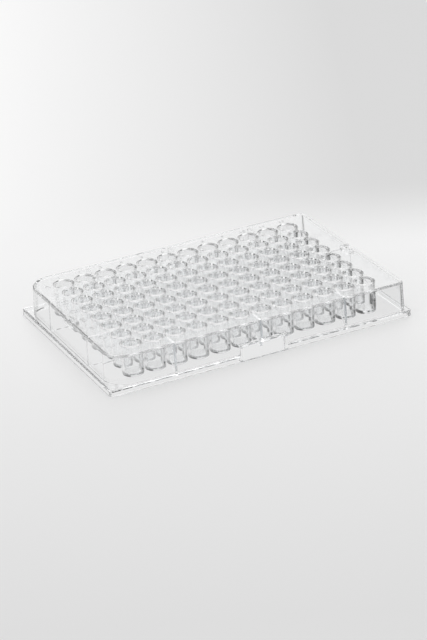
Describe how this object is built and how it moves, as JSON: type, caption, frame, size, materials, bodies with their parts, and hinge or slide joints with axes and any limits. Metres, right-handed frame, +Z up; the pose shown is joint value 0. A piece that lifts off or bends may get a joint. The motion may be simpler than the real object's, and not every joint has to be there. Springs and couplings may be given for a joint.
{
  "type": "well plate",
  "caption": "Clear moulded microplate with a grid of flat-bottom wells under a flat deck, inside a hollow skirt with a flanged foot, for small liquid samples.",
  "frame": {"origin": "centre of the footprint, on the surface that the foot stands on", "axes": "+X along the rows of wells from column 1 to the last column, +Y across the plate from the last row to row A, +Z up out of the wells' mouths"},
  "size_m": [0.1278, 0.0854, 0.0144],
  "materials": {
    "clear_plastic": "gloss"
  },
  "bodies": {
    "root": {"well_plate": "clear_plastic"}
  },
  "joints": []
}
